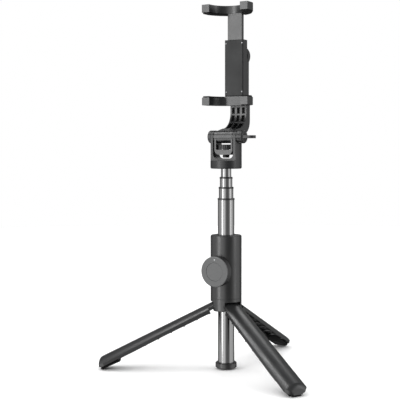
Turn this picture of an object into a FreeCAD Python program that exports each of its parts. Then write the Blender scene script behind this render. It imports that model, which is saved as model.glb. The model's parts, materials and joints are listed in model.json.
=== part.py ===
import FreeCAD, Part
import Sketcher
import os

# Selfie stick with folding tripod legs, telescopic pole, tilting phone clamp and round remote.
# Millimetres. The pole's axis is Z, the floor is Z = 0, the phone faces -Y.

DIMENSIONS = {
    # pole
    "tube_one_radius": 7.15, "tube_two_radius": 6.25, "tube_three_radius": 5.40, "tube_four_radius": 4.45,
    "tube_wall": 0.45, "run_clearance": 0.05,
    "tube_one_foot": 2.3, "tube_two_foot": 12.0, "tube_three_foot": 20.0, "tube_four_foot": 27.0,
    "collar_one_top": 148.9, "collar_two_top": 158.6, "collar_three_top": 167.2,
    "collar_lip": 1.4, "collar_plug": 9.2, "slipper_height": 12.0,
    "cap_radius": 9.2, "cap_foot": 0.8, "cap_top": 6.0,
    # body and leg hub
    "body_radius": 13.5, "body_bore": 11.3, "body_top": 117.1, "hub_top": 62.3, "hub_foot": 51.6,
    "spigot_top": 66.0, "bush_height": 6.0, "hub_bore": 7.45,
    # legs, drawn folded against the pole and then opened about their pins
    "pivot_radius": 10.2, "pivot_height": 55.9, "pin_radius": 1.0, "pin_half": 8.6,
    "tongue_half": 7.5, "knuckle": 1.8, "leg_radius": 13.4, "leg_wall": 2.0, "rib_radius": 9.5,
    "leg_span": 117.0, "leg_length": 114.6, "leg_root": 5.5, "leg_slope": 26.4,
    "rib_pitch": 12.4, "pad_length": 18.0, "tip_half": 10.2,
    # round remote on the front of the body
    "remote_radius": 13.1, "remote_height": 87.0, "remote_front": 20.4, "remote_back": 14.0,
    "button_radius": 7.8, "dock_radius": 8.4,
    # tilting head
    "hinge_height": 201.65, "head_foot": 174.4, "ledge_height": 181.3, "slot_floor": 183.1,
    "slot_half": 9.85, "ear_depth": 5.6, "ear_outer": 12.3, "bolt_radius": 2.0,
    "barrel_radius": 5.5, "barrel_half": 8.9,
    # bent arm behind the clamp
    "arm_half": 8.1, "arm_front": 21.8, "arm_back": 28.2, "web_foot": 204.0,
    "bend_inner": 14.1, "bend_outer": 12.0, "loop_drop": 15.4,
    # screw for a small camera, captive under the barrel
    "stud_radius": 3.175, "stud_neck": 2.75, "stud_drop": 17.9, "thread_length": 2.3,
    "wheel_radius": 6.4, "wheel_drop": 10.75, "wheel_height": 4.2,
    # phone clamp
    "clamp_height": 272.35, "opening_half": 35.35, "jaw_height": 7.9, "jaw_radius": 23.0, "jaw_half": 22.4,
    "jaw_recess": 15.1, "jaw_tip": 3.1, "clamp_back": 21.3, "housing_half": 9.0, "housing_front": 13.2,
    "housing_top": 286.0, "tongue_foot": 252.0, "jaw_pad": 1.2, "spring_foot": 238.0, "spring_top": 270.0,
}

document = FreeCAD.newDocument("selfie_stick")
sheet = document.addObject("Spreadsheet::Sheet", "dims")
for row, (alias, value) in enumerate(DIMENSIONS.items(), start=1):
    sheet.set("A%d" % row, alias)
    sheet.set("B%d" % row, str(value))
    sheet.setAlias("B%d" % row, alias)
document.recompute()


class Size:
    """A length that carries its spreadsheet expression along with its present value."""

    def __init__(self, text, value):
        self.text = text
        self.value = value

    def __add__(self, other):
        return Size("(%s + %s)" % (self.text, written(other)), self.value + number(other))

    def __sub__(self, other):
        return Size("(%s - %s)" % (self.text, written(other)), self.value - number(other))

    def __rsub__(self, other):
        return Size("(%s - %s)" % (written(other), self.text), number(other) - self.value)

    def __mul__(self, other):
        return Size("(%s * %s)" % (self.text, written(other)), self.value * number(other))

    def __neg__(self):
        return Size("(0 - %s)" % self.text, -self.value)

    __radd__ = __add__
    __rmul__ = __mul__


def written(value):
    return value.text if isinstance(value, Size) else repr(float(value))


def number(value):
    return value.value if isinstance(value, Size) else float(value)


class Dimensions:
    """Each spreadsheet alias as a Size."""

    def __getattr__(self, alias):
        return Size("dims." + alias, DIMENSIONS[alias])


dim = Dimensions()
X_AXIS = FreeCAD.Vector(1, 0, 0)
Y_AXIS = FreeCAD.Vector(0, 1, 0)
Z_AXIS = FreeCAD.Vector(0, 0, 1)
ALONG_X = FreeCAD.Rotation(Y_AXIS, 90)
ALONG_Y = FreeCAD.Rotation(X_AXIS, -90)
UPRIGHT = FreeCAD.Rotation()
nodes = []
serial = [0]


def spare_name(kind):
    serial[0] += 1
    return "%s_%03d" % (kind, serial[0])


def bind(item, prop, value):
    """Tie a property to the spreadsheet, or set a plain number."""
    if isinstance(value, Size):
        item.setExpression(prop, value.text)
    else:
        setattr(item, prop, value)


def place(item, at, turn=UPRIGHT):
    item.Placement = FreeCAD.Placement(FreeCAD.Vector(*[number(value) for value in at]), turn)
    for axis, value in zip("xyz", at):
        if isinstance(value, Size):
            item.setExpression("Placement.Base." + axis, value.text)
    return item


def rod(radius, length, at=(0, 0, 0), turn=UPRIGHT, angle=360):
    """A cylinder that starts at a point and runs along Z, or along X or Y when turned."""
    item = document.addObject("Part::Cylinder", spare_name("rod"))
    bind(item, "Radius", radius)
    bind(item, "Height", length)
    bind(item, "Angle", angle)
    return place(item, at, turn)


def block(low, high):
    """A box between two corners."""
    item = document.addObject("Part::Box", spare_name("block"))
    for prop, start, end in zip(("Length", "Width", "Height"), low, high):
        bind(item, prop, end - start)
    return place(item, low)


def prism(across, length, at, turn):
    """A hexagonal bar, sized across its corners."""
    item = document.addObject("Part::Prism", spare_name("prism"))
    item.Polygon = 6
    bind(item, "Circumradius", across)
    bind(item, "Height", length)
    return place(item, at, turn)


def union(*items):
    item = document.addObject("Part::MultiFuse", spare_name("union"))
    item.Shapes = list(items)
    item.Refine = True
    return item


def overlap(*items):
    item = document.addObject("Part::MultiCommon", spare_name("overlap"))
    item.Shapes = list(items)
    return item


def group(*items):
    """Separate solids kept together as one node."""
    item = document.addObject("Part::Compound", spare_name("group"))
    item.Links = list(items)
    return item


def less(base, *tools):
    item = document.addObject("Part::Cut", spare_name("cut"))
    item.Base = base
    item.Tool = tools[0] if len(tools) == 1 else union(*tools)
    item.Refine = True
    return item


def rounded(base, radius, chosen, kind="Part::Fillet"):
    """Round or chamfer the edges of a piece that the test picks."""
    document.recompute()
    item = document.addObject(kind, spare_name("edge"))
    item.Base = base
    edges = enumerate(base.Shape.Edges, start=1)
    item.Edges = [(index, radius, radius) for index, edge in edges if chosen(edge)]
    return item


def node(item, label):
    """Name a finished sub-part."""
    item.Label = label
    nodes.append(item)
    return item


def turned(label, points):
    """A PartDesign body revolved about Z from an outline of (radius, height) corners."""
    body = document.addObject("PartDesign::Body", spare_name("body"))
    sketch = body.newObject("Sketcher::SketchObject", spare_name("sketch"))
    plane = [item for item in body.Origin.OriginFeatures if item.Role == "XZ_Plane"][0]
    sketch.AttachmentSupport = [(plane, "")]
    sketch.MapMode = "FlatFace"
    corners = [FreeCAD.Vector(number(across), number(up), 0) for across, up in points]
    for index, corner in enumerate(corners):
        sketch.addGeometry(Part.LineSegment(corner, corners[(index + 1) % len(corners)]), False)
    for index, (across, up) in enumerate(points):
        sketch.addConstraint(Sketcher.Constraint("Coincident", index, 2, (index + 1) % len(points), 1))
        if number(across) == 0:
            sketch.addConstraint(Sketcher.Constraint("PointOnObject", index, 1, -2))
        else:
            pin = sketch.addConstraint(Sketcher.Constraint("DistanceX", -1, 1, index, 1, number(across)))
            if isinstance(across, Size):
                sketch.setExpression("Constraints[%d]" % pin, across.text)
        pin = sketch.addConstraint(Sketcher.Constraint("DistanceY", -1, 1, index, 1, number(up)))
        if isinstance(up, Size):
            sketch.setExpression("Constraints[%d]" % pin, up.text)
    spin = body.newObject("PartDesign::Revolution", spare_name("spin"))
    spin.Profile = sketch
    spin.ReferenceAxis = (sketch, ["V_Axis"])
    spin.Angle = 360
    body.Tip = spin
    return node(body, label)


def near(value, target, slack=0.01):
    return abs(value - target) < slack


# ---------------------------------------------------------------- telescopic pole
# Each tube slides in the collar at the top of the one outside it, on a slipper at its own foot.

tube_radii = (dim.tube_one_radius, dim.tube_two_radius, dim.tube_three_radius, dim.tube_four_radius)
tube_feet = (dim.tube_one_foot, dim.tube_two_foot, dim.tube_three_foot, dim.tube_four_foot)
tube_tops = (dim.collar_one_top, dim.collar_two_top, dim.collar_three_top,
             dim.ledge_height + dim.collar_lip)
for stage in range(4):
    outer = tube_radii[stage]
    inner = outer - dim.tube_wall
    foot = tube_feet[stage]
    top = tube_tops[stage] - dim.collar_lip
    node(less(rod(outer, top - foot, (0, 0, foot)), rod(inner, top - foot + 2, (0, 0, foot - 1))),
         "tube_%d" % (stage + 1))
    if stage > 0:
        bore = tube_radii[stage - 1] - dim.tube_wall
        turned("slipper_%d" % (stage + 1), [
            (outer, foot), (bore - dim.run_clearance - 0.15, foot),
            (bore - dim.run_clearance, foot + 1), (bore - dim.run_clearance, foot + dim.slipper_height),
            (outer, foot + dim.slipper_height)])
    if stage < 3:
        guide = tube_radii[stage + 1] + dim.run_clearance
        turned("stage_collar_%d" % (stage + 1), [
            (guide, top - dim.collar_plug), (inner, top - dim.collar_plug), (inner, top),
            (outer + 0.25, top), (outer + 0.25, top + dim.collar_lip - 0.4),
            (outer - 0.1, top + dim.collar_lip), (guide, top + dim.collar_lip)])

turned("end_cap", [
    (0, dim.cap_foot), (dim.cap_radius - 1.2, dim.cap_foot), (dim.cap_radius, dim.cap_foot + 0.9),
    (dim.cap_radius, dim.cap_top - 0.8), (dim.cap_radius - 0.8, dim.cap_top),
    (dim.tube_one_radius, dim.cap_top), (dim.tube_one_radius, dim.tube_one_foot),
    (0, dim.tube_one_foot)])

# ---------------------------------------------------------------- body, bushes and remote dock
# The outer tube slides in two bushes, one above the leg hub and one under the body's closed top.

shell = turned("body_shell", [
    (dim.body_bore, dim.hub_top), (dim.body_radius, dim.hub_top), (dim.body_radius, dim.body_top - 1.8),
    (dim.body_radius - 0.6, dim.body_top - 0.55), (dim.body_radius - 2.0, dim.body_top),
    (dim.tube_one_radius + 0.35, dim.body_top), (dim.tube_one_radius + 0.35, dim.body_top - 2.6),
    (dim.body_bore, dim.body_top - 2.6)])
nodes.remove(shell)
dock_bore = rod(dim.dock_radius, 9, (0, -17, dim.remote_height), ALONG_Y)
node(less(shell, dock_bore), "body_sleeve")

for label, foot in (("column_bush_upper", dim.body_top - 2.6 - dim.bush_height),
                    ("column_bush_lower", dim.spigot_top)):
    turned(label, [
        (dim.tube_one_radius + dim.run_clearance, foot), (dim.body_bore - 0.5, foot),
        (dim.body_bore, foot + 0.5), (dim.body_bore, foot + dim.bush_height),
        (dim.tube_one_radius + dim.run_clearance, foot + dim.bush_height)])

dock_face = dim.remote_back - 0.2
node(less(
    union(rod(dim.dock_radius, dock_face - 8.3, (0, -dock_face, dim.remote_height), ALONG_Y),
          rod(6.0, 2.0, (0, -dim.remote_back - 0.8, dim.remote_height), ALONG_Y)),
    rod(3.6, 3.0, (0, -dim.remote_back - 1, dim.remote_height), ALONG_Y)), "remote_dock")

# ---------------------------------------------------------------- leg hub
# Three slots hold the leg knuckles; each pin lies across its slot.

LEG_AZIMUTHS = (90, 210, 330)

hub_core = turned("hub_core", [
    (dim.hub_bore, dim.hub_foot), (dim.body_radius - 0.8, dim.hub_foot),
    (dim.body_radius, dim.hub_foot + 0.8), (dim.body_radius, dim.hub_top),
    (dim.body_bore - 0.05, dim.hub_top), (dim.body_bore - 0.05, dim.spigot_top),
    (dim.hub_bore, dim.spigot_top)])
nodes.remove(hub_core)
slots = []
pin_start = (dim.pivot_radius, -dim.pin_half, dim.pivot_height)
for azimuth in LEG_AZIMUTHS:
    gap = block((dim.pivot_radius - 2.0, -dim.tongue_half - 0.2, dim.hub_foot - 1),
                (dim.body_radius + 2, dim.tongue_half + 0.2, dim.pivot_height + 3.9))
    cutter = union(gap, rod(dim.pin_radius, dim.pin_half * 2, pin_start, ALONG_Y))
    cutter.Placement = FreeCAD.Placement(FreeCAD.Vector(), FreeCAD.Rotation(Z_AXIS, azimuth))
    slots.append(cutter)
node(less(hub_core, *slots), "leg_hub")

pins = []
for azimuth in LEG_AZIMUTHS:
    pin = group(rod(dim.pin_radius, dim.pin_half * 2, pin_start, ALONG_Y))
    pin.Placement = FreeCAD.Placement(FreeCAD.Vector(), FreeCAD.Rotation(Z_AXIS, azimuth))
    pins.append(pin)
node(group(*pins), "leg_pins")

# ---------------------------------------------------------------- legs
# A leg is a third of a tube, ribbed inside. Folded, three of them close round the pole.


def sector(radius, foot, height, span):
    """A pie slice of a rod, centred on +X."""
    item = rod(radius, height, (0, 0, foot), UPRIGHT, span)
    item.Placement = FreeCAD.Placement(
        item.Placement.Base, FreeCAD.Rotation(Z_AXIS, -number(span) / 2))
    return item


def leg_end(offset):
    """The half space beyond the leg's slanted end face, moved inward by an offset."""
    item = document.addObject("Part::Box", spare_name("end"))
    item.Length = 60
    item.Width = 60
    item.Height = 40
    slope = FreeCAD.Rotation(Y_AXIS, -dim.leg_slope.value)
    corner = FreeCAD.Vector(5.0, -30, dim.pivot_height.value - dim.leg_length.value + offset)
    item.Placement = FreeCAD.Placement(corner + slope.multVec(FreeCAD.Vector(-20, 0, -40)), slope)
    return item


def side_trim(side, root):
    """The half space beyond one straight side of a leg, which narrows toward the tip."""
    item = document.addObject("Part::Box", spare_name("side"))
    item.Length = 40
    item.Width = 20
    item.Height = 140
    taper = FreeCAD.Rotation(X_AXIS, side * 0.7)
    edge = FreeCAD.Vector(-10, side * dim.tip_half.value, root.value - dim.leg_length.value)
    start = FreeCAD.Vector(0, 0 if side > 0 else -20, -10)
    item.Placement = FreeCAD.Placement(edge + taper.multVec(start), taper)
    return item


def on_end_ring(edge):
    """Picks the curved edge round a leg's slanted end face."""
    return edge.BoundBox.ZMin < 0 and edge.BoundBox.YLength > 10


TIP_ROUND = 6.0
PAD_INSET = 1.2


def tip_corner(side, radius):
    """What lies outside one rounded corner of a leg's tip, the leg seen from outside."""
    middle = side * (dim.tip_half.value - TIP_ROUND)
    height = dim.pivot_height.value - dim.leg_length.value + TIP_ROUND + 1.8
    across = sorted((middle, side * 16))
    return less(block((-6, across[0], height - 12), (16, across[1], height)),
                rod(radius, 24, (-7, middle, height), ALONG_X))


def leg_shell():
    root = dim.pivot_height - dim.leg_root
    tip = dim.pivot_height - dim.leg_length - 2
    envelope = rounded(less(rod(dim.leg_radius, 140, (0, 0, tip - 2)), leg_end(0)), 5.0, on_end_ring)
    skin = less(sector(dim.leg_radius, tip, root - tip, dim.leg_span),
                rod(dim.leg_radius - dim.leg_wall, dim.leg_length, (0, 0, tip - 1)))
    floor = less(sector(dim.leg_radius - 1, tip, root - tip, dim.leg_span),
                 rod(dim.rib_radius, dim.leg_length, (0, 0, tip - 1)))
    bars = [block((4, -7.2, tip), (14, -6.0, root)), block((4, 6.0, tip), (14, 7.2, root)),
            block((4, -12, root - 2), (14, 12, root)), block((4, -12, tip), (14, 12, tip + 14))]
    for index in range(1, 8):
        height = root - dim.rib_pitch * index
        bars.append(block((4, -12, height - 1.2), (14, 12, height)))
    ribs = overlap(floor, union(*bars))
    tongue = overlap(
        union(block((dim.pivot_radius - dim.knuckle, -dim.tongue_half, root - 3.5),
                    (dim.leg_radius + 1, dim.tongue_half, dim.pivot_height)),
              block((dim.pivot_radius, -dim.tongue_half, dim.pivot_height - 1),
                    (dim.leg_radius + 1, dim.tongue_half, dim.pivot_height + dim.knuckle)),
              rod(dim.knuckle, dim.tongue_half * 2,
                  (dim.pivot_radius, -dim.tongue_half, dim.pivot_height), ALONG_Y)),
        rod(dim.leg_radius, 20, (0, 0, dim.pivot_height - 14)))
    end_wall = less(sector(dim.leg_radius, tip, 16, dim.leg_span),
                    block((-14, -14, tip - 1), (6.4, 14, root)),
                    less(block((-20, -20, tip - 20), (20, 20, root)), leg_end(2.2)))
    whole = union(skin, ribs, tongue, end_wall)
    bore = rod(dim.pin_radius + dim.run_clearance, 20, (dim.pivot_radius, -10, dim.pivot_height), ALONG_Y)
    pad_room = block((-14, -14, tip - 1), (6.4, 14, tip + dim.pad_length + 4))
    rib_trim = block((-14, -14, tip - 1), (6.0, 14, root))
    sides = [side_trim(side, root) for side in (-1, 1)]
    corners = [tip_corner(side, TIP_ROUND) for side in (-1, 1)]
    return overlap(less(whole, bore, pad_room, rib_trim, *sides, *corners), envelope)


def foot_pad():
    tip = dim.pivot_height - dim.leg_length
    heel = tip + 1.8 + dim.pad_length
    slice_of_rod = sector(dim.rib_radius - 0.05, tip - 2, heel - tip + 2, dim.leg_span - 3)
    under = document.addObject("Part::Box", spare_name("under"))
    under.Length = 20
    under.Width = 30
    under.Height = 60
    lean = FreeCAD.Rotation(Y_AXIS, -3.0)
    toe = FreeCAD.Vector(3.94, -15, tip.value + 1.4)
    under.Placement = FreeCAD.Placement(toe + lean.multVec(FreeCAD.Vector(-20, 0, -20)), lean)
    corners = [tip_corner(side, TIP_ROUND - PAD_INSET) for side in (-1, 1)]
    return less(slice_of_rod, under, leg_end(2.3), *corners)


open_turn = FreeCAD.Placement(
    FreeCAD.Vector(), FreeCAD.Rotation(Y_AXIS, dim.leg_slope.value - 90),
    FreeCAD.Vector(dim.pivot_radius.value, 0, dim.pivot_height.value))
for index, azimuth in enumerate(LEG_AZIMUTHS, start=1):
    for label, made in (("leg_shell_%d" % index, leg_shell()), ("foot_pad_%d" % index, foot_pad())):
        spun = FreeCAD.Placement(FreeCAD.Vector(), FreeCAD.Rotation(Z_AXIS, azimuth))
        made.Placement = spun.multiply(open_turn)
        node(made, label)

# ---------------------------------------------------------------- tilting head
# A fork with a slot right through it from front to back, screwed to a plug in the top tube.

head_base = turned("head_base", [
    (0, dim.head_foot), (dim.body_radius - 0.8, dim.head_foot), (dim.body_radius, dim.head_foot + 0.8),
    (dim.body_radius, dim.ledge_height), (0, dim.ledge_height)])
nodes.remove(head_base)
ears = overlap(
    rod(dim.body_radius, 40, (0, 0, dim.head_foot + 1)),
    union(block((-15, -dim.ear_depth, dim.ledge_height - 1), (15, dim.ear_depth, dim.hinge_height)),
          rod(dim.ear_depth, 30, (-15, 0, dim.hinge_height), ALONG_X)))
SLOT_REACH = 20


def on_slot_floor(edge):
    """Picks the two edges where the slot's walls meet its floor."""
    return near(edge.BoundBox.ZMax, dim.slot_floor.value) and near(edge.BoundBox.YLength, 2 * SLOT_REACH)


slot = rounded(block((-dim.slot_half, -SLOT_REACH, dim.slot_floor),
                     (dim.slot_half, SLOT_REACH, dim.hinge_height + 20)), 4.0, on_slot_floor)
seat_left = rod(dim.ear_depth + 0.2, 5, (-dim.ear_outer - 5, 0, dim.hinge_height), ALONG_X)
seat_right = rod(dim.ear_depth + 0.2, 5, (dim.ear_outer, 0, dim.hinge_height), ALONG_X)
fork = less(
    union(head_base, ears), slot, seat_left, seat_right,
    rod(dim.bolt_radius, 40, (-20, 0, dim.hinge_height), ALONG_X),
    rod(dim.tube_four_radius, dim.ledge_height - dim.head_foot + 1, (0, 0, dim.head_foot - 1)),
    rod(1.4, 10, (0, 0, dim.ledge_height - 1)),
    rod(2.6, 5, (0, 0, dim.slot_floor - 1.1)))
node(fork, "head_fork")
node(less(rod(dim.tube_four_radius - dim.tube_wall, 10, (0, 0, dim.ledge_height - 10)),
          rod(1.4, 12, (0, 0, dim.ledge_height - 9))), "head_plug")
node(less(union(rod(1.4, 10, (0, 0, dim.slot_floor - 10.5)), rod(2.6, 1.0, (0, 0, dim.slot_floor - 1.1))),
          rod(0.9, 2, (0, 0, dim.slot_floor - 0.7))), "head_screw")

# hinge bolt, its cap, the washers beside the barrel, and the knob that tightens it
bolt_head = prism(3.8, 2.4, (-dim.ear_outer - 2.4, 0, dim.hinge_height), ALONG_X)
bolt_shank = rod(dim.bolt_radius, 29, (-dim.ear_outer - 1, 0, dim.hinge_height), ALONG_X)
node(union(bolt_head, bolt_shank), "hinge_bolt")
cap_face = -dim.ear_outer - 3.4
node(rounded(less(rod(dim.ear_depth, 3.4, (cap_face, 0, dim.hinge_height), ALONG_X),
                  prism(3.8, 2.4, (-dim.ear_outer - 2.4, 0, dim.hinge_height), ALONG_X)),
             0.8, lambda edge: near(edge.BoundBox.XMax, cap_face.value) and edge.Length > 30), "bolt_cap")
washers = []
for side in (-1, 1):
    start = (dim.barrel_half + 0.05) if side > 0 else -(dim.slot_half - 0.05)
    washers.append(less(
        rod(5.2, dim.slot_half - dim.barrel_half - 0.1, (start, 0, dim.hinge_height), ALONG_X),
        rod(dim.bolt_radius + 0.1, 4, (start - 1, 0, dim.hinge_height), ALONG_X)))
node(group(*washers), "friction_washers")

TAB_HALF = 4.2
TAB_THICK = 2.5
FLUTES = 10
knob_start = dim.ear_outer + 0.1
GRIP_LENGTH = 6.2
grip_end = knob_start + GRIP_LENGTH
grip = rounded(rod(dim.ear_depth, GRIP_LENGTH, (knob_start, 0, dim.hinge_height), ALONG_X),
               1.6, lambda edge: near(edge.BoundBox.XMin, grip_end.value) and edge.Length > 30)
flutes = []
for index in range(FLUTES):
    flute = rod(0.8, 5.2, (knob_start - 1, 0, 0), ALONG_X)
    around = FreeCAD.Rotation(X_AXIS, 360 * (index + 0.5) / FLUTES)
    flute.Placement = FreeCAD.Placement(
        FreeCAD.Vector(0, 0, dim.hinge_height.value)
        + around.multVec(FreeCAD.Vector(knob_start.value - 1, dim.ear_depth.value + 0.25, 0)), ALONG_X)
    flutes.append(flute)
tab = union(
    block((knob_start + 3, -TAB_HALF, dim.hinge_height - TAB_THICK / 2),
          (knob_start + 11.8, TAB_HALF, dim.hinge_height + TAB_THICK / 2)),
    rod(TAB_HALF, TAB_THICK, (knob_start + 11.8, 0, dim.hinge_height - TAB_THICK / 2)))
node(less(union(less(grip, *flutes), tab),
          prism(3.5, 3.4, (knob_start, 0, dim.hinge_height), ALONG_X),
          rod(dim.bolt_radius + 0.2, 5.0, (knob_start, 0, dim.hinge_height), ALONG_X)), "tilt_knob")
node(less(prism(3.5, 3.4, (knob_start, 0, dim.hinge_height), ALONG_X),
          rod(dim.bolt_radius + dim.run_clearance, 8, (knob_start - 1, 0, dim.hinge_height), ALONG_X)),
     "knob_nut")

# ---------------------------------------------------------------- arm
# Barrel on the hinge bolt, a web that curves up behind the clamp, and a loop below for the camera screw.

bend_height = dim.web_foot + 5.0 + dim.bend_inner
corner_height = dim.web_foot + dim.bend_outer
corner_depth = dim.arm_back - dim.bend_outer
web = block((-dim.arm_half, 0, dim.web_foot), (dim.arm_half, dim.arm_back, dim.clamp_height - 36))
strap = block((-dim.arm_half, dim.arm_front, dim.clamp_height - 40),
              (dim.arm_half, dim.arm_back - 2, dim.clamp_height))
disc = rod(dim.arm_half + 1.4, dim.arm_back - 2 - dim.arm_front,
           (0, dim.arm_front, dim.clamp_height), ALONG_Y)
inside_round = rod(dim.bend_inner, 40, (-20, dim.arm_front - dim.bend_inner, bend_height), ALONG_X)
inside_gap = block((-20, -1, bend_height), (20, dim.arm_front, dim.clamp_height + 20))
inside_step = document.addObject("Part::Box", "inside_step")
inside_step.Length = 40
inside_step.Width = 20
inside_step.Height = 20
step_slope = FreeCAD.Rotation(X_AXIS, 12.6)
step_corner = FreeCAD.Vector(-20, dim.arm_front.value - dim.bend_inner.value, dim.web_foot.value + 5.0)
step_start = step_corner + step_slope.multVec(FreeCAD.Vector(0, -20, 0))
inside_step.Placement = FreeCAD.Placement(step_start, step_slope)
outside_corner = less(
    block((-20, corner_depth, dim.web_foot - 2), (20, dim.arm_back + 2, corner_height)),
    rod(dim.bend_outer, 44, (-22, corner_depth, corner_height), ALONG_X))
# each row of lightening pockets: its foot and top, how far forward and back it is cut, and half its width
POCKET_ROWS = ((222.3, 227.7, 14.0, 24.8, 1.3), (215.3, 220.8, 14.0, 24.8, 1.4),
               (207.0, 213.9, 8.0, 24.2, 1.95))
POCKET_PITCH = 5.0
pockets = []
for column in (-1, 0, 1):
    for low, high, fore, aft, half in POCKET_ROWS:
        middle = POCKET_PITCH * column
        pockets.append(block((middle - half, fore, low), (middle + half, aft, high)))
barrel = rod(dim.barrel_radius, dim.barrel_half * 2, (-dim.barrel_half, 0, dim.hinge_height), ALONG_X)
loop_foot = dim.hinge_height - dim.loop_drop
loop = rounded(
    block((-dim.barrel_half, -5.0, loop_foot), (dim.barrel_half, 5.0, dim.hinge_height)),
    4.4, lambda edge: near(edge.BoundBox.ZMax, loop_foot.value) and near(edge.BoundBox.YLength, 10))
window = block((-7.2, -7, dim.hinge_height - dim.wheel_drop - 0.2), (7.2, 7, dim.hinge_height))
screw_hole = rod(dim.stud_neck + 0.08, 12, (0, 0, dim.hinge_height - 20))
bracket = less(
    union(less(union(web, strap, disc), inside_round, inside_gap, inside_step, outside_corner, *pockets),
          less(loop, window, screw_hole), barrel),
    rod(dim.bolt_radius + dim.run_clearance, 40, (-20, 0, dim.hinge_height), ALONG_X),
    rod(2.2, 20, (0, dim.arm_front - 2, dim.clamp_height), ALONG_Y))
node(bracket, "arm_bracket")

node(union(rod(2.2, 8.1, (0, 18.9, dim.clamp_height), ALONG_Y),
           rod(4.0, 1.05, (0, 18.9, dim.clamp_height), ALONG_Y)), "swivel_rivet")
node(less(rod(4.6, 1.7, (0, dim.arm_back - 2, dim.clamp_height), ALONG_Y),
          rod(2.2, 0.8, (0, dim.arm_back - 2, dim.clamp_height), ALONG_Y)), "swivel_cap")
node(less(rod(7.5, 0.4, (0, dim.arm_front - 0.45, dim.clamp_height), ALONG_Y),
          rod(2.25, 2, (0, dim.arm_front - 1, dim.clamp_height), ALONG_Y)), "swivel_washer")

# camera screw: a threaded stud pressed into a finger wheel that sits in the loop
# its neck is thinner than its thread, so it stays in the loop's hole
stud_foot = dim.hinge_height - dim.stud_drop
wheel_foot = dim.hinge_height - dim.wheel_drop
turned("camera_stud", [
    (0, stud_foot), (dim.stud_radius - 0.6, stud_foot), (dim.stud_radius, stud_foot + 0.6),
    (dim.stud_radius, stud_foot + dim.thread_length), (dim.stud_neck, stud_foot + dim.thread_length),
    (dim.stud_neck, wheel_foot + 2.2), (0, wheel_foot + 2.2)])
TEETH = 18
teeth = []
for index in range(TEETH):
    tooth = rod(0.5, 5)
    angle = FreeCAD.Rotation(Z_AXIS, 360 * index / TEETH)
    rim = FreeCAD.Vector(dim.wheel_radius.value + 0.15, 0, wheel_foot.value - 1)
    tooth.Placement = FreeCAD.Placement(angle.multVec(rim), UPRIGHT)
    teeth.append(tooth)
node(less(rod(dim.wheel_radius, dim.wheel_height, (0, 0, wheel_foot)),
          rod(dim.stud_neck, 2.2, (0, 0, wheel_foot)), *teeth), "camera_wheel")

# ---------------------------------------------------------------- phone clamp
# Both jaws are wide C shapes that clear the pole when the head folds down.


def jaw_outline(foot, height, trim=0.0):
    """The C plan of a jaw, made smaller all round by a trim."""
    outer = overlap(
        rod(dim.jaw_radius - trim, height, (0, 0, foot)),
        block((-dim.jaw_half + trim, -dim.jaw_tip + trim, foot),
              (dim.jaw_half - trim, dim.clamp_back - trim, foot + height)))
    mouth = union(rod(dim.jaw_recess + trim, height + 2, (0, 0, foot - 1)),
                  block((-dim.jaw_recess - trim, -10, foot - 1),
                        (dim.jaw_recess + trim, 0, foot + height + 1)))
    return less(outer, mouth)


lower_top = dim.clamp_height - dim.opening_half
lower_foot = lower_top - dim.jaw_height
upper_foot = dim.clamp_height + dim.opening_half
cavity_foot = lower_foot + 4.8
housing = less(
    block((-dim.housing_half, dim.housing_front + 1.6, lower_foot),
          (dim.housing_half, dim.clamp_back, dim.housing_top)),
    block((-7.3, dim.housing_front + 1.4, cavity_foot), (7.3, 20.0, dim.housing_top + 1)))
lower_face = block((-dim.housing_half, dim.housing_front, lower_foot),
                   (dim.housing_half, dim.housing_front + 1.6, lower_top))
lower_jaw = less(jaw_outline(lower_foot, dim.jaw_height - dim.jaw_pad),
                 block((-7.3, dim.housing_front + 1.6, cavity_foot), (7.3, 20.0, dim.housing_top)))
post = rod(1.0, 3.8, (0, 16.85, cavity_foot))
SCREW_RADIUS = 0.55
SCREW_OUT = 7.9
SCREW_HEIGHTS = (241, 283)
screw_places = [(SCREW_OUT * side, up) for side in (-1, 1) for up in SCREW_HEIGHTS]
cover_bosses = [
    rod(SCREW_RADIUS, 4, (out, dim.housing_front + 1.4, up), ALONG_Y) for out, up in screw_places]
node(less(union(housing, lower_face, lower_jaw, post),
          rod(2.25, 6, (0, 19, dim.clamp_height), ALONG_Y), *cover_bosses), "clamp_body")
cover_foot = lower_top + 0.1
cover_plate = rounded(
    block((-dim.housing_half, dim.housing_front, cover_foot),
          (dim.housing_half, dim.housing_front + 1.6, dim.housing_top)),
    0.5, lambda edge: near(edge.BoundBox.YMax, dim.housing_front.value) and edge.Length > 5, "Part::Chamfer")
cover_holes = [rod(SCREW_RADIUS, 4, (out, dim.housing_front - 1, up), ALONG_Y) for out, up in screw_places]
node(less(cover_plate, *cover_holes), "clamp_cover")
cover_screws = [
    less(rod(SCREW_RADIUS, 4.6, (out, dim.housing_front + 0.3, up), ALONG_Y),
         rod(0.3, 1.5, (out, dim.housing_front - 0.6, up), ALONG_Y)) for out, up in screw_places]
node(group(*cover_screws), "cover_screws")
node(less(jaw_outline(lower_top - dim.jaw_pad, dim.jaw_pad, 0.7),
          block((-dim.housing_half, 10, lower_foot), (dim.housing_half, 25, dim.housing_top))),
     "lower_jaw_pad")

tongue_bar = less(block((-7.0, 15.1, dim.tongue_foot), (7.0, 18.6, upper_foot + 4)),
                  block((-2.3, 14, dim.tongue_foot - 1), (2.3, 20, dim.spring_top)))
hook = rod(0.6, 3.3, (0, 15.2, dim.spring_top + 0.6), ALONG_Y)
upper_shape = jaw_outline(upper_foot + dim.jaw_pad, dim.jaw_height - dim.jaw_pad)
node(union(upper_shape, tongue_bar, hook), "upper_jaw")
node(less(jaw_outline(upper_foot, dim.jaw_pad, 0.7),
          block((-7.2, 10, upper_foot - 5), (7.2, 25, upper_foot + 5))), "upper_jaw_pad")

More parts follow.
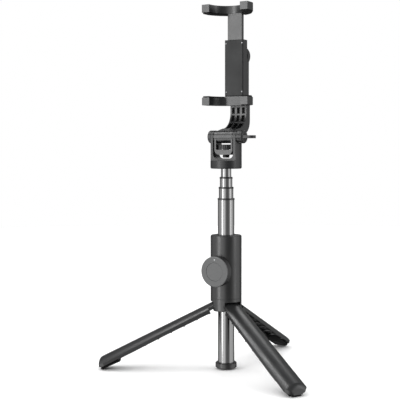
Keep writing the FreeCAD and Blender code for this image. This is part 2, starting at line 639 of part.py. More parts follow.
# the spring that pulls the jaws together, a close coil of round wire
COIL_RADIUS = 1.35
WIRE_RADIUS = 0.22
COIL_TURNS = 22
height = dim.spring_top.value - dim.spring_foot.value - 2 * WIRE_RADIUS
helix = Part.makeHelix(height / COIL_TURNS, height, COIL_RADIUS)
wire_section = Part.Wire([Part.makeCircle(WIRE_RADIUS, FreeCAD.Vector(COIL_RADIUS, 0, 0), Y_AXIS)])
coil = Part.Wire(helix.Edges).makePipeShell([wire_section], True, True)
spring = document.addObject("Part::Feature", "spring")
spring.Shape = coil
spring_start = FreeCAD.Vector(0, 16.85, dim.spring_foot.value + WIRE_RADIUS)
spring.Placement = FreeCAD.Placement(spring_start, UPRIGHT)
node(spring, "clamp_spring")

# ---------------------------------------------------------------- round remote
# Two case halves round a board and a coin cell, with one large button.


def facing_front(radius, outward, depth, inner=None, at=(0, 0)):
    """A disc or ring whose outer face lies a distance in front of the pole's axis."""
    across, up = at
    item = rod(radius, depth, (across, -outward, dim.remote_height + up), ALONG_Y)
    if inner is None:
        return item
    return less(item, rod(inner, depth + 2, (across, -outward - 1, dim.remote_height + up), ALONG_Y))


front = dim.remote_front
back = dim.remote_back
parting = back + 2.2
light_at = (0, 10.2)
case_round = rounded(facing_front(dim.remote_radius, front, front - parting),
                     0.7, lambda edge: near(edge.BoundBox.YMax, -front.value) and edge.Length > 70)
node(less(case_round,
          facing_front(dim.remote_radius - 1.3, front - 1.2, 6),
          facing_front(dim.button_radius + 0.12, front + 1, 4),
          facing_front(0.62, front + 1, 6, None, light_at)), "remote_front_case")
back_dish = less(facing_front(dim.remote_radius, parting, parting - back),
                 facing_front(dim.remote_radius - 1.3, parting + 1, parting + 1 - back - 0.7))
node(less(union(back_dish, facing_front(6.8, back + 1.5, 1.5)), facing_front(6.1, back + 0.95, 3)),
     "remote_back_case")
node(union(facing_front(dim.button_radius, front - 0.15, 1.2), facing_front(9.2, front - 1.3, 0.5),
           facing_front(1.4, front - 1.6, 0.3)), "remote_button")
board_front = back + 3.8
node(facing_front(11.4, board_front, 0.6), "remote_board")
node(facing_front(2.6, board_front + 0.35, 0.35), "remote_dome")
node(facing_front(10.0, back + 3.15, 1.6), "remote_cell")
contact = less(facing_front(10.6, back + 3.1, 1.4, 10.25),
               block((-20, -30, dim.remote_height - 20), (20, 0, dim.remote_height + 6)))
node(contact, "remote_contact")
node(facing_front(0.6, front - 0.1, front - 0.1 - board_front, None, light_at), "remote_light_pipe")

# ---------------------------------------------------------------- write the parts

document.recompute()
for item in document.Objects:
    if "Invalid" in item.State or "Error" in item.State:
        raise RuntimeError("%s (%s) did not build: %s" % (item.Label, item.Name, item.State))
os.makedirs("parts", exist_ok=True)
for item in nodes:
    shape = item.Shape
    if shape.isNull() or not shape.isValid() or not shape.Solids:
        raise RuntimeError("%s has no valid solid" % item.Label)
    shape.exportStep("parts/%s.step" % item.Label)
print(len(nodes), "parts written")
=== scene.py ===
import json
import math

import bmesh
import bpy
import numpy as np
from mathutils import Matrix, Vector


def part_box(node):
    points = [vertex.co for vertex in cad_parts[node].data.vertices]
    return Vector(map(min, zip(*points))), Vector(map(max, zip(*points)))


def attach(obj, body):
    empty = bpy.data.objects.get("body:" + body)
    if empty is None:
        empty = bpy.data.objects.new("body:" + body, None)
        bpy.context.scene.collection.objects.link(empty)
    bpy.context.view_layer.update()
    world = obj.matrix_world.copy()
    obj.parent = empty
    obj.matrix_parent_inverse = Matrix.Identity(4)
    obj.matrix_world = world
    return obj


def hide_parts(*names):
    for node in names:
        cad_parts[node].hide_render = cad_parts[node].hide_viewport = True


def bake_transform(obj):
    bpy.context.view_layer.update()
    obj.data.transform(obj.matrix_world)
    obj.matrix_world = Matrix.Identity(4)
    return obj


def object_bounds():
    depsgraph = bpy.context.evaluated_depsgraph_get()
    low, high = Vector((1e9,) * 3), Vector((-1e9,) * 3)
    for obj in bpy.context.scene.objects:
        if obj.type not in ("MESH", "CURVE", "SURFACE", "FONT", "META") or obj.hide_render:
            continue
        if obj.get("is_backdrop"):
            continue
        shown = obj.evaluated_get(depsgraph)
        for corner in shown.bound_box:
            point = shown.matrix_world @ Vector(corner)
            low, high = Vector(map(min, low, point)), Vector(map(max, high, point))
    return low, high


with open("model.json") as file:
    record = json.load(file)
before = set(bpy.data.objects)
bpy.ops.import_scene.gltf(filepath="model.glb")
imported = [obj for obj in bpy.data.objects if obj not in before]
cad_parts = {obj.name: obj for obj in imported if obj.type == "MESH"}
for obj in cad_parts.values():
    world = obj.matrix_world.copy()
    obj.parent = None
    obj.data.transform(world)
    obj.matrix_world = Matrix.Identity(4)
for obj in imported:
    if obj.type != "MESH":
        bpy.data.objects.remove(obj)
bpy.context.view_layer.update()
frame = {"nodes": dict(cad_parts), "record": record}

nodes = frame["nodes"]
MM = 0.001

# ---------------------------------------------------------------- camera, floor and studio light
# The camera stands level with the head of the pole, 0.8 m away in front and to the right.
# A white floor runs out past the view, lit by a wide soft overhead lamp.
# Two tall strip boxes stand front left and right, and two smaller ones hang above.
AZIMUTH = math.radians(29.7)
PITCH = math.radians(3.21)
CAMERA_DISTANCE = 0.80918
CAMERA_HEIGHT = 0.1926
FLOOR_RADIUS = 1.5
MIDDLE_OF_STICK = Vector((0.0, 0.0, 0.16))
toward_camera = np.array([math.sin(AZIMUTH), -math.cos(AZIMUTH), 0.0])
to_the_right = np.array([math.cos(AZIMUTH), math.sin(AZIMUTH), 0.0])

lens = bpy.data.cameras.new("camera")
lens.sensor_width = 36.0
lens.lens = 84.37
lens.shift_x = -0.0653
lens.clip_end = 60.0
camera = bpy.data.objects.new("camera", lens)
camera.location = Vector(toward_camera * CAMERA_DISTANCE) + Vector((0, 0, CAMERA_HEIGHT))
camera.rotation_euler = (math.pi / 2 - PITCH, 0.0, AZIMUTH)
bpy.context.scene.collection.objects.link(camera)
bpy.context.scene.camera = camera
bpy.context.scene.view_settings.view_transform = "Standard"


def node_of(tree, kind, **settings):
    """One shader node, with its settings and, by socket name or number, its inputs' values."""
    made = tree.nodes.new(kind)
    for key, value in settings.get("fields", {}).items():
        setattr(made, key, value)
    for key, value in settings.get("inputs", {}).items():
        made.inputs[key].default_value = value
    return made


def ramp_of(tree, stops):
    """A colour ramp of greys, given as (place, brightness) stops."""
    made = tree.nodes.new("ShaderNodeValToRGB")
    band = made.color_ramp
    for index, (place, grey) in enumerate(stops):
        stop = band.elements[index] if index < 2 else band.elements.new(place)
        stop.position = place
        stop.color = (grey, grey, grey, 1.0)
    return made


world = bpy.data.worlds.new("studio")
bpy.context.scene.world = world
world.use_nodes = True
sky = world.node_tree
sky.nodes.clear()
direction = node_of(sky, "ShaderNodeTexCoord")
sideways = node_of(sky, "ShaderNodeVectorMath", fields={"operation": "DOT_PRODUCT"}, inputs={1: to_the_right})
forward = node_of(sky, "ShaderNodeVectorMath", fields={"operation": "DOT_PRODUCT"}, inputs={1: toward_camera})
upward = node_of(sky, "ShaderNodeSeparateXYZ")
side_place = node_of(sky, "ShaderNodeMapRange", inputs={1: -1.0, 2: 1.0, 3: 0.0, 4: 1.0})
side_light = ramp_of(sky, [(0.0, 0.32), (0.06, 0.56), (0.25, 0.66), (0.33, 0.64), (0.42, 0.34), (0.50, 0.13),
                           (0.77, 0.09), (0.86, 0.22), (0.93, 0.50), (1.0, 0.42)])
behind = node_of(sky, "ShaderNodeMapRange", inputs={1: -0.2, 2: -0.6, 3: 0.0, 4: 1.0})
back_mix = node_of(sky, "ShaderNodeMix", fields={"data_type": "RGBA"}, inputs={7: (0.09, 0.09, 0.09, 1.0)})
above = node_of(sky, "ShaderNodeMapRange", inputs={1: 0.35, 2: 0.8, 3: 0.0, 4: 1.0})
top_mix = node_of(sky, "ShaderNodeMix", fields={"data_type": "RGBA"}, inputs={7: (0.10, 0.10, 0.10, 1.0)})
seen = node_of(sky, "ShaderNodeLightPath")
white = node_of(sky, "ShaderNodeMix", fields={"data_type": "RGBA"}, inputs={7: (0.5, 0.5, 0.5, 1.0)})
glow = node_of(sky, "ShaderNodeBackground", inputs={"Strength": 2.0})
ends = node_of(sky, "ShaderNodeOutputWorld")
for start, finish in (
        (direction.outputs["Generated"], sideways.inputs[0]),
        (direction.outputs["Generated"], forward.inputs[0]),
        (direction.outputs["Generated"], upward.inputs[0]),
        (sideways.outputs["Value"], side_place.inputs[0]),
        (side_place.outputs[0], side_light.inputs[0]), (forward.outputs["Value"], behind.inputs[0]),
        (behind.outputs[0], back_mix.inputs[0]), (side_light.outputs[0], back_mix.inputs[6]),
        (upward.outputs[2], above.inputs[0]), (above.outputs[0], top_mix.inputs[0]),
        (back_mix.outputs[2], top_mix.inputs[6]), (seen.outputs["Is Camera Ray"], white.inputs[0]),
        (top_mix.outputs[2], white.inputs[6]), (white.outputs[2], glow.inputs[0]),
        (glow.outputs[0], ends.inputs[0])):
    sky.links.new(start, finish)


def strip_box(name, degrees, distance, width, height, lift, radiance):
    """An upright soft box, some degrees to the right of the camera seen from the pole, facing the pole."""
    lamp = bpy.data.lights.new(name, "AREA")
    lamp.shape = "RECTANGLE"
    lamp.size = width
    lamp.size_y = height
    lamp.energy = radiance * math.pi * width * height
    holder = bpy.data.objects.new(name, lamp)
    angle = math.radians(degrees)
    spot = (toward_camera * math.cos(angle) + to_the_right * math.sin(angle)) * distance
    holder.location = (spot[0], spot[1], lift)
    aim = MIDDLE_OF_STICK - Vector(holder.location)
    holder.rotation_euler = aim.to_track_quat("-Z", "Y").to_euler()
    bpy.context.scene.collection.objects.link(holder)


strip_box("strip_left", -54, 1.5, 0.40, 1.5, 0.40, 3.6)
strip_box("strip_right", 70, 1.5, 0.34, 1.3, 0.45, 1.3)
strip_box("top_left", -95, 0.60, 0.34, 0.34, 1.15, 6.0)
strip_box("top_back", 168, 0.95, 0.70, 0.60, 1.15, 2.0)

overhead = bpy.data.lights.new("overhead", "SUN")
overhead.energy = 2.6
overhead.angle = math.radians(120)
overhead_holder = bpy.data.objects.new("overhead", overhead)
overhead_holder.visible_glossy = False
bpy.context.scene.collection.objects.link(overhead_holder)


def disc_points(radius, steps):
    """Points evenly round a circle at Z = 0."""
    turn = np.linspace(0, 2 * np.pi, steps, endpoint=False)
    return np.stack([radius * np.cos(turn), radius * np.sin(turn), np.zeros(steps)], axis=1)


floor_mesh = bpy.data.meshes.new("floor")
floor_mesh.from_pydata(disc_points(FLOOR_RADIUS, 96).tolist(), [], [list(range(96))])
floor = bpy.data.objects.new("floor", floor_mesh)
# the floor is white to look at, throws little light up at the stick, and isn't mirrored in the tubes
floor_paint = bpy.data.materials.new("floor_paint")
floor_paint.use_nodes = True
ground = floor_paint.node_tree
ground.nodes.clear()
looked_at = node_of(ground, "ShaderNodeLightPath")
white_paper = node_of(ground, "ShaderNodeBsdfDiffuse", inputs={"Color": (0.95, 0.95, 0.95, 1.0)})
grey_paper = node_of(ground, "ShaderNodeBsdfDiffuse", inputs={"Color": (0.10, 0.10, 0.10, 1.0)})
clear = node_of(ground, "ShaderNodeBsdfTransparent")
bounced = node_of(ground, "ShaderNodeMixShader")
either = node_of(ground, "ShaderNodeMixShader")
surface = node_of(ground, "ShaderNodeOutputMaterial")
for start, finish in (
        (looked_at.outputs["Is Glossy Ray"], bounced.inputs[0]),
        (grey_paper.outputs[0], bounced.inputs[1]), (clear.outputs[0], bounced.inputs[2]),
        (looked_at.outputs["Is Camera Ray"], either.inputs[0]), (bounced.outputs[0], either.inputs[1]),
        (white_paper.outputs[0], either.inputs[2]), (either.outputs[0], surface.inputs[0])):
    ground.links.new(start, finish)
floor_mesh.materials.append(floor_paint)
bpy.context.scene.collection.objects.link(floor)
floor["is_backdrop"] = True

# ---------------------------------------------------------------- body sleeve
# The tubular body under the hand, moulded in black ABS with a fine spark texture.
# It slips over the hub's spigot, and its closed top guides the pole.


LONGEST_REACH = 0.45
SUPPORT_REACH = 0.08


def rounded_outline(corners, radius, arc):
    """Each corner becomes an arc: a quadratic curve between the points a radius away along its two sides.
    A short side cuts the radius down, and a point just past each end of the arc keeps the flat side flat."""
    corners = np.asarray(corners, float)
    made = []
    for index, here in enumerate(corners):
        before = corners[index - 1] - here
        after = corners[(index + 1) % len(corners)] - here
        reach = min(radius, LONGEST_REACH * np.linalg.norm(before), LONGEST_REACH * np.linalg.norm(after))
        start = here + before / np.linalg.norm(before) * reach
        stop = here + after / np.linalg.norm(after) * reach
        share = np.linspace(0, 1, arc + 1)[:, None]
        curve = (1 - share) ** 2 * start + 2 * share * (1 - share) * here + share ** 2 * stop
        support = SUPPORT_REACH * reach
        made.append(start + before / np.linalg.norm(before) * support)
        made.extend(curve)
        made.append(stop + after / np.linalg.norm(after) * support)
    return np.array(made)


def mesh_piece(name, points, faces, material):
    """Puts a closed mesh into the scene: near points merged, faces turned outward, shaded smooth."""
    mesh = bpy.data.meshes.new(name)
    mesh.from_pydata(np.asarray(points).tolist(), [], [list(map(int, face)) for face in faces])
    mesh.validate()
    work = bmesh.new()
    work.from_mesh(mesh)
    bmesh.ops.remove_doubles(work, verts=work.verts, dist=1e-7)
    if work.calc_volume(signed=True) < 0:
        bmesh.ops.reverse_faces(work, faces=work.faces)
    work.to_mesh(mesh)
    work.free()
    mesh.shade_smooth()
    mesh.materials.append(material)
    piece = bpy.data.objects.new(name, mesh)
    bpy.context.scene.collection.objects.link(piece)
    return piece


def finished(name, points, faces, material, body, replaced, slot):
    """A mesh piece that rides a body and stands for one CAD node, which it hides, in the material it is
    given. The slot argument is not used.
    """
    piece = mesh_piece(name, points, faces, material)
    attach(piece, body)
    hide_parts(replaced)


def turned(outline, steps, closed=True, relief=None):
    """Surface of revolution: each (radius, height) point of the outline goes round the Z axis.
    The outline is closed on itself, or open with both ends on the axis, where it ends in one point.
    A relief is a change of radius, in mm, worked out from the turn, the height and the radius."""
    outline = np.asarray(outline, float)
    turn = np.linspace(0, 2 * np.pi, steps, endpoint=False)[None, :]
    radius = np.repeat(outline[:, 0][:, None], steps, axis=1)
    along = np.repeat(outline[:, 1][:, None], steps, axis=1)
    if relief is not None:
        radius = radius + relief(turn, along, radius)
    points = np.stack([radius * np.cos(turn), radius * np.sin(turn), along], axis=-1).reshape(-1, 3) * MM
    rows = len(outline)
    row = np.arange(rows if closed else rows - 1)[:, None]
    low, high = row * steps, (row + 1) % rows * steps
    first = np.arange(steps)
    second = (first + 1) % steps
    faces = np.stack([low + first, low + second, high + second, high + first], axis=-1).reshape(-1, 4)
    return points, faces.tolist()


def new_group(name, inputs, outputs):
    """A shader node group with named inputs and outputs."""
    tree = bpy.data.node_groups.new(name, "ShaderNodeTree")
    for label, kind, value in inputs:
        socket = tree.interface.new_socket(name=label, in_out="INPUT", socket_type=kind)
        socket.default_value = value
    for label, kind in outputs:
        tree.interface.new_socket(name=label, in_out="OUTPUT", socket_type=kind)
    return tree, tree.nodes.new("NodeGroupInput"), tree.nodes.new("NodeGroupOutput")


# Spark texture of a mould: two sizes of grain for the bump, and a slow cloud for tone and gloss.
spark_group, spark_in, spark_out = new_group(
    "spark_texture",
    [("Grain", "NodeSocketFloat", 3000.0), ("Cloud", "NodeSocketFloat", 60.0)],
    [("Height", "NodeSocketFloat"), ("Tone", "NodeSocketFloat")])
place = node_of(spark_group, "ShaderNodeTexCoord")
fine = node_of(spark_group, "ShaderNodeTexNoise", inputs={"Detail": 3.0, "Roughness": 0.6})
cloud = node_of(spark_group, "ShaderNodeTexNoise", inputs={"Detail": 4.0, "Roughness": 0.55})
for start, finish in (
        (place.outputs["Object"], fine.inputs["Vector"]),
        (place.outputs["Object"], cloud.inputs["Vector"]),
        (spark_in.outputs["Grain"], fine.inputs["Scale"]),
        (spark_in.outputs["Cloud"], cloud.inputs["Scale"]),
        (fine.outputs[0], spark_out.inputs["Height"]), (cloud.outputs[0], spark_out.inputs["Tone"])):
    spark_group.links.new(start, finish)

# Rounded edge: the normal turned over a small radius at every edge, and a mask of how far it turned.
edge_group, edge_in, edge_out = new_group(
    "rounded_edge", [("Radius", "NodeSocketFloat", 0.0003)],
    [("Normal", "NodeSocketVector"), ("Edge", "NodeSocketFloat")])
bevel = node_of(edge_group, "ShaderNodeBevel", fields={"samples": 6})
flat_normal = node_of(edge_group, "ShaderNodeNewGeometry")
agree = node_of(edge_group, "ShaderNodeVectorMath", fields={"operation": "DOT_PRODUCT"})
edge_mask = node_of(edge_group, "ShaderNodeMapRange", inputs={1: 0.995, 2: 0.80, 3: 0.0, 4: 1.0})
for start, finish in (
        (edge_in.outputs["Radius"], bevel.inputs["Radius"]),
        (bevel.outputs[0], edge_out.inputs["Normal"]), (bevel.outputs[0], agree.inputs[0]),
        (flat_normal.outputs["Normal"], agree.inputs[1]),
        (agree.outputs["Value"], edge_mask.inputs[0]), (edge_mask.outputs[0], edge_out.inputs["Edge"])):
    edge_group.links.new(start, finish)


def group_node(tree, group, **values):
    """A node that stands for a group, with its inputs' values."""
    made = tree.nodes.new("ShaderNodeGroup")
    made.node_tree = group
    for key, value in values.items():
        made.inputs[key].default_value = value
    return made


GRAIN_DEPTH = 0.00004


def moulded(name, dark, light, edge_highlight, rough=(0.27, 0.38), grain=3000.0, bump=0.12, edge=0.0003,
            specular=1.0):
    """Moulded plastic or rubber: a spark texture in gloss and bump, and a painted highlight that lightens the
    edges.
    """
    material = bpy.data.materials.new(name)
    material.use_nodes = True
    tree = material.node_tree
    shader = tree.nodes["Principled BSDF"]
    shader.inputs["Specular IOR Level"].default_value = specular
    spark = group_node(tree, spark_group, Grain=grain)
    rim = group_node(tree, edge_group, Radius=edge)
    tone = node_of(tree, "ShaderNodeMix", fields={"data_type": "RGBA"},
                   inputs={6: (*dark, 1.0), 7: (*light, 1.0)})
    tone_range = node_of(tree, "ShaderNodeMapRange", inputs={1: 0.35, 2: 0.65})
    # painted highlight: along the edges the base colour is lightened towards a paler grey, broken up by the
    # cloud
    colour = node_of(tree, "ShaderNodeMix", fields={"data_type": "RGBA"}, inputs={7: (*edge_highlight, 1.0)})
    edge_highlight_share = node_of(tree, "ShaderNodeMath", fields={"operation": "MULTIPLY"})
    gloss = node_of(tree, "ShaderNodeMapRange", inputs={1: 0.3, 2: 0.7, 3: rough[0], 4: rough[1]})
    relief = node_of(tree, "ShaderNodeBump", inputs={"Strength": bump, "Distance": GRAIN_DEPTH})
    for start, finish in (
            (spark.outputs["Tone"], tone_range.inputs[0]), (tone_range.outputs[0], tone.inputs[0]),
            (tone.outputs[2], colour.inputs[6]), (rim.outputs["Edge"], edge_highlight_share.inputs[0]),
            (spark.outputs["Tone"], edge_highlight_share.inputs[1]), (edge_highlight_share.outputs[0], colour.inputs[0]),
            (colour.outputs[2], shader.inputs["Base Color"]), (spark.outputs["Tone"], gloss.inputs[0]),
            (gloss.outputs[0], shader.inputs["Roughness"]),
            (spark.outputs["Height"], relief.inputs["Height"]),
            (rim.outputs["Normal"], relief.inputs["Normal"]),
            (relief.outputs[0], shader.inputs["Normal"])):
        tree.links.new(start, finish)
    return material


# the third colour of each moulded finish is the paler grey of its painted edge highlight
body_plastic = moulded("body_plastic", (0.010, 0.0105, 0.011), (0.014, 0.0145, 0.015), (0.045, 0.046, 0.048))
sleeve_low, sleeve_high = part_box("body_sleeve")
sleeve_radius = sleeve_high.x / MM
sleeve_foot, sleeve_top = sleeve_low.z / MM, sleeve_high.z / MM
SLEEVE_BORE = 11.3
SLEEVE_MOUTH = 7.5
SLEEVE_ROUND = 1.5
FOOT_CHAMFER = 0.2
TOP_THICKNESS = 2.6
under_top = sleeve_top - TOP_THICKNESS
sleeve_outline = rounded_outline([
    (SLEEVE_BORE, sleeve_foot), (sleeve_radius - FOOT_CHAMFER, sleeve_foot),
    (sleeve_radius, sleeve_foot + FOOT_CHAMFER), (sleeve_radius, sleeve_top), (SLEEVE_MOUTH, sleeve_top),
    (SLEEVE_MOUTH, under_top), (SLEEVE_BORE, under_top)], SLEEVE_ROUND, 6)
finished("sleeve", *turned(sleeve_outline, 128), body_plastic, "stand", "body_sleeve", "body_plastic")

# ---------------------------------------------------------------- pole tubes
# Four stainless tubes, drawn and polished, each sliding in the one outside it.
# The drawing leaves hair lines along the tube.


def polished_steel(name, colour, rough, lengthwise=True):
    """Metal polished along one direction: noise stretched along Z gives hair lines in the gloss and bump."""
    material = bpy.data.materials.new(name)
    material.use_nodes = True
    tree = material.node_tree
    shader = tree.nodes["Principled BSDF"]
    shader.inputs["Metallic"].default_value = 1.0
    where = node_of(tree, "ShaderNodeTexCoord")
    stretch = node_of(tree, "ShaderNodeMapping",
                      inputs={"Scale": (1.0, 1.0, 0.02) if lengthwise else (1.0, 1.0, 1.0)})
    lines = node_of(tree, "ShaderNodeTexNoise", inputs={"Scale": 2600.0, "Detail": 3.0, "Roughness": 0.6})
    cloud = node_of(tree, "ShaderNodeTexNoise", inputs={"Scale": 45.0, "Detail": 3.0})
    tone = node_of(tree, "ShaderNodeMix", fields={"data_type": "RGBA"},
                   inputs={6: (*[0.94 * part for part in colour], 1.0), 7: (*colour, 1.0)})
    gloss = node_of(tree, "ShaderNodeMapRange", inputs={1: 0.3, 2: 0.7, 3: rough[0], 4: rough[1]})
    relief = node_of(tree, "ShaderNodeBump", inputs={"Strength": 0.05, "Distance": 0.00002})
    for start, finish in (
            (where.outputs["Object"], stretch.inputs[0]), (stretch.outputs[0], lines.inputs["Vector"]),
            (where.outputs["Object"], cloud.inputs["Vector"]), (cloud.outputs[0], tone.inputs[0]),
            (tone.outputs[2], shader.inputs["Base Color"]), (lines.outputs[0], gloss.inputs[0]),
            (gloss.outputs[0], shader.inputs["Roughness"]),
            (lines.outputs[0], relief.inputs["Height"]), (relief.outputs[0], shader.inputs["Normal"])):
        tree.links.new(start, finish)
    return material


TUBE_WALL = 0.45
TUBE_ROUND = 0.12
tube_steel = polished_steel("tube_steel", (0.37, 0.37, 0.37), (0.09, 0.15))
for index, body in enumerate(("column", "stage_2", "stage_3", "head"), start=1):
    low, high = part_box("tube_%d" % index)
    outer, foot, top = high.x / MM, low.z / MM, high.z / MM
    inner = outer - TUBE_WALL
    outline = rounded_outline([(inner, foot), (outer, foot), (outer, top), (inner, top)], TUBE_ROUND, 2)
    finished("polished_tube_%d" % index, *turned(outline, 96), tube_steel, body,
             "tube_%d" % index, "tube_steel")

# ---------------------------------------------------------------- leg hub and legs
# Three ribbed half-tube legs hang on steel pins in the hub and carry rubber foot pads.
# Their moulded edges are soft, and carry a painted highlight that lightens them.


def softened(node, material, body, width, angle=30):
    """A CAD node's own surface, merged and with its flat faces joined, its sharp edges rounded by a bevel."""
    work = bmesh.new()
    work.from_mesh(nodes[node].data)
    bmesh.ops.remove_doubles(work, verts=work.verts, dist=1e-6)
    bmesh.ops.dissolve_limit(work, angle_limit=math.radians(0.5), verts=work.verts, edges=work.edges)
    mesh = bpy.data.meshes.new("soft_" + node)
    work.to_mesh(mesh)
    work.free()
    mesh.shade_smooth()
    mesh.set_sharp_from_angle(angle=math.radians(angle - 5))
    mesh.materials.append(material)
    piece = bpy.data.objects.new("soft_" + node, mesh)
    bpy.context.scene.collection.objects.link(piece)
    edges = piece.modifiers.new("edges", "BEVEL")
    edges.width = width * MM
    edges.segments = 2
    edges.limit_method = "ANGLE"
    edges.angle_limit = math.radians(angle)
    level = piece.modifiers.new("level", "WEIGHTED_NORMAL")
    level.weight = 100
    level.keep_sharp = True
    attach(piece, body)
    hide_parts(node)


leg_plastic = moulded("leg_plastic", (0.010, 0.0105, 0.011), (0.014, 0.0145, 0.015), (0.06, 0.062, 0.064))
pad_rubber = moulded("pad_rubber", (0.012, 0.012, 0.012), (0.020, 0.020, 0.020), (0.03, 0.03, 0.03),
                     (0.75, 0.92), 2200.0, 0.3, 0.0003, 0.3)
softened("leg_hub", body_plastic, "stand", 0.25)
for index in (1, 2, 3):
    softened("leg_shell_%d" % index, leg_plastic, "leg_%d" % index, 0.4)
    softened("foot_pad_%d" % index, pad_rubber, "leg_%d" % index, 0.25)

# ---------------------------------------------------------------- tilting head
# The fork, its bolt cap and the locking knob are moulded in one satin black plastic.
# The fork is screwed to a plug in the top tube, and the knob's nut draws its ears together on the bolt.

head_plastic = moulded("head_plastic", (0.012, 0.0125, 0.013), (0.017, 0.0175, 0.018), (0.075, 0.077, 0.08),
                        (0.30, 0.42), specular=0.7)
softened("head_fork", head_plastic, "head", 0.35)
softened("bolt_cap", head_plastic, "head", 0.2)
softened("tilt_knob", head_plastic, "knob", 0.3)

# ---------------------------------------------------------------- camera screw
# A turned steel stud, a quarter inch across with 20 threads to the inch, pressed into a toothed finger wheel.
# It sits captive in the arm's loop and holds a small camera once the head is tilted over.

stud_low, stud_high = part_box("camera_stud")
STUD_RADIUS = 3.175
STUD_NECK = 2.75
STUD_PITCH = 1.27
THREAD_DEPTH = 0.55
THREAD_LENGTH = 2.3
THREAD_START = 0.1
RUN_IN = 0.3
RUN_OUT = 0.2
THREAD_STOP = 0.05
CHAMFER_WIDTH = 0.6
CHAMFER_HEIGHT = 0.5
stud_foot, stud_top = stud_low.z / MM, stud_high.z / MM
thread_top = stud_foot + THREAD_LENGTH


def thread(turn, along, radius):
    """A triangle wave that climbs one pitch a turn, cut inward, and running out at the thread's two ends."""
    phase = (along / STUD_PITCH - turn / (2 * np.pi)) % 1.0
    wave = 1 - np.abs(2 * phase - 1)
    run_in = np.clip((along - stud_foot - THREAD_START) / RUN_IN, 0, 1)
    run_out = np.clip((thread_top - THREAD_STOP - along) / RUN_OUT, 0, 1)
    return -THREAD_DEPTH * wave * (run_in * run_out) * (radius > STUD_NECK)


threads = [(STUD_RADIUS, height)
           for height in np.linspace(stud_foot + CHAMFER_HEIGHT, thread_top - THREAD_STOP, 40)]
stud_outline = [(0, stud_foot), (STUD_RADIUS - CHAMFER_WIDTH, stud_foot), *threads,
                (STUD_NECK, thread_top), (STUD_NECK, stud_top), (0, stud_top)]
stud_steel = polished_steel("stud_steel", (0.20, 0.20, 0.20), (0.22, 0.34), False)
finished("threaded_stud", *turned(stud_outline, 72, closed=False, relief=thread), stud_steel,
         "camera_screw", "camera_stud", "steel")
softened("camera_wheel", head_plastic, "camera_screw", 0.12)

# ---------------------------------------------------------------- arm
# The bent bracket that carries the clamp, moulded in glass-filled black plastic.
# Pockets lighten its bend, and a loop under the hinge barrel holds the camera screw.

arm_plastic = moulded("arm_plastic", (0.010, 0.0105, 0.011), (0.014, 0.0145, 0.015), (0.045, 0.047, 0.05))
softened("arm_bracket", arm_plastic, "arm", 0.2)

# ---------------------------------------------------------------- phone clamp
# A moulded box housing with the fixed jaw, and a cover held by four small screws.
# The upper jaw slides in the housing on its tongue and is pulled down by a coil spring.

clamp_plastic = moulded("clamp_plastic", (0.011, 0.0115, 0.012), (0.015, 0.0155, 0.016), (0.065, 0.067, 0.07))
cover_plastic = moulded("cover_plastic", (0.011, 0.0115, 0.012), (0.015, 0.0155, 0.016), (0.05, 0.052, 0.055),
                        (0.45, 0.6), 1800.0, 0.2, 0.0003, 0.5)
softened("clamp_body", clamp_plastic, "clamp", 0.45)
softened("clamp_cover", cover_plastic, "clamp", 0.3)
softened("upper_jaw", clamp_plastic, "upper_jaw", 0.45)
softened("lower_jaw_pad", pad_rubber, "clamp", 0.2)
softened("upper_jaw_pad", pad_rubber, "upper_jaw", 0.2)

# the return spring, hooked to the housing's post at its foot and to the upper jaw at its top
SPRING_TURNS = 22
SPRING_RADIUS = 1.35
SPRING_WIRE = 0.22
SPRING_BACK = 16.85


def coil_points(foot, top, around=8, per_turn=20):
    """A helix with a round section: the centre line climbs evenly, and each section stands upright."""
    steps = SPRING_TURNS * per_turn
    turn = np.linspace(0, 2 * np.pi * SPRING_TURNS, steps)[:, None]
    section = np.linspace(0, 2 * np.pi, around, endpoint=False)[None, :]
    radius = SPRING_RADIUS + SPRING_WIRE * np.cos(section)
    climb = np.linspace(foot + SPRING_WIRE, top - SPRING_WIRE, steps)[:, None] + SPRING_WIRE * np.sin(section)
    points = np.stack([radius * np.cos(turn), radius * np.sin(turn) + SPRING_BACK, climb], axis=-1)
    ring = np.arange(around)
    row = (np.arange(steps - 1) * around)[:, None]
    following = (ring + 1) % around
    sides = np.stack([row + ring, row + following, row + around + following, row + around + ring],
                     axis=-1).reshape(-1, 4).tolist()
    ends = [ring[::-1].tolist(), (ring + (steps - 1) * around).tolist()]
    return points.reshape(-1, 3) * MM, sides + ends


spring_steel = polished_steel("spring_steel", (0.50, 0.50, 0.51), (0.25, 0.38), False)
spring_low, spring_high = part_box("clamp_spring")
spring = mesh_piece("coil_spring", *coil_points(spring_low.z / MM, spring_high.z / MM), spring_steel)
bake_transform(spring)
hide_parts("clamp_spring")

# ---------------------------------------------------------------- round remote
# Two snapped case halves in black plastic. The front and its key are painted grey.
# The paint stops at the rim, and the wall behind it is bare.


PAINT_STOPS = -19.75
PAINT_BLUR = 0.15


def bare_behind(material, plane, colour):
    """Painted up to a plane in front of the pole: behind it the base colour gives way to the bare plastic."""
    tree = material.node_tree
    target = tree.nodes["Principled BSDF"].inputs["Base Color"]
    paint = target.links[0].from_socket
    where = node_of(tree, "ShaderNodeTexCoord")
    parts = node_of(tree, "ShaderNodeSeparateXYZ")
    share = node_of(tree, "ShaderNodeMapRange",
                    inputs={1: (plane - PAINT_BLUR) * MM, 2: (plane + PAINT_BLUR) * MM})
    both = node_of(tree, "ShaderNodeMix", fields={"data_type": "RGBA"}, inputs={7: (*colour, 1.0)})
    for start, finish in (
            (where.outputs["Object"], parts.inputs[0]), (parts.outputs[1], share.inputs[0]),
            (share.outputs[0], both.inputs[0]), (paint, both.inputs[6]), (both.outputs[2], target)):
        tree.links.new(start, finish)


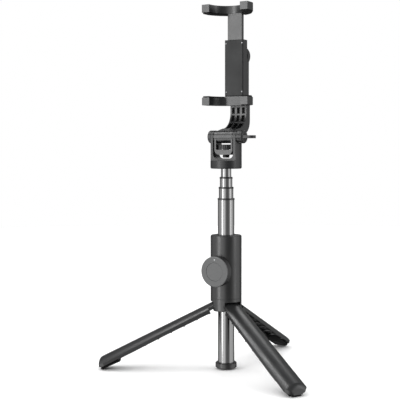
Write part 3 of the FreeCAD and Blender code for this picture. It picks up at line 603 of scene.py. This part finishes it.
remote_grey = moulded("remote_grey", (0.088, 0.090, 0.091), (0.104, 0.106, 0.107), (0.16, 0.16, 0.16),
                      (0.42, 0.55))
bare_behind(remote_grey, PAINT_STOPS, (0.012, 0.012, 0.0125))
key_grey = moulded("key_grey", (0.090, 0.092, 0.093), (0.107, 0.109, 0.110), (0.16, 0.16, 0.16), (0.42, 0.55))
remote_rim = moulded("remote_rim", (0.012, 0.012, 0.0125), (0.016, 0.0165, 0.017), (0.05, 0.05, 0.05))

# ---------------------------------------------------------------- carried-over nodes
# Collars, end cap, pins, bushes, fasteners and the remote keep their CAD meshes.
# Each takes the finish of its material slot in the record.

gloss_black = moulded("gloss_black", (0.012, 0.012, 0.012), (0.018, 0.018, 0.018), (0.05, 0.05, 0.05),
                      (0.22, 0.32), 2600.0, 0.05)
nylon = moulded("nylon", (0.62, 0.61, 0.57), (0.70, 0.69, 0.65), (0.75, 0.74, 0.70), (0.4, 0.55))
board_green = moulded("board_green", (0.01, 0.10, 0.04), (0.015, 0.13, 0.055), (0.3, 0.25, 0.1), (0.3, 0.4))
light_pipe = moulded("light_pipe", (0.70, 0.72, 0.73), (0.76, 0.78, 0.79), (0.8, 0.8, 0.8), (0.15, 0.25))
zinc = polished_steel("zinc", (0.52, 0.52, 0.53), (0.28, 0.42), False)
brass = polished_steel("brass", (0.66, 0.48, 0.22), (0.24, 0.36), False)
FINISHES = {
    "collar_plastic": gloss_black, "body_plastic": body_plastic, "head_plastic": head_plastic,
    "arm_plastic": arm_plastic, "clamp_plastic": clamp_plastic, "leg_plastic": leg_plastic,
    "pad_rubber": pad_rubber, "remote_grey": remote_grey, "remote_key": key_grey, "remote_rim": remote_rim,
    "nylon": nylon, "black_nylon": gloss_black, "board": board_green, "light_pipe": light_pipe,
    "steel": zinc, "black_steel": gloss_black, "spring_steel": spring_steel, "brass": brass,
    "tube_steel": tube_steel,
}
for part in frame["record"]["subparts"]:
    piece = nodes[part["node"]]
    piece.data.materials.clear()
    piece.data.materials.append(FINISHES[part["material_slot"]])

# ---------------------------------------------------------------- sizes
# The box round what is shown is measured here, in metres.
low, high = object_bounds()
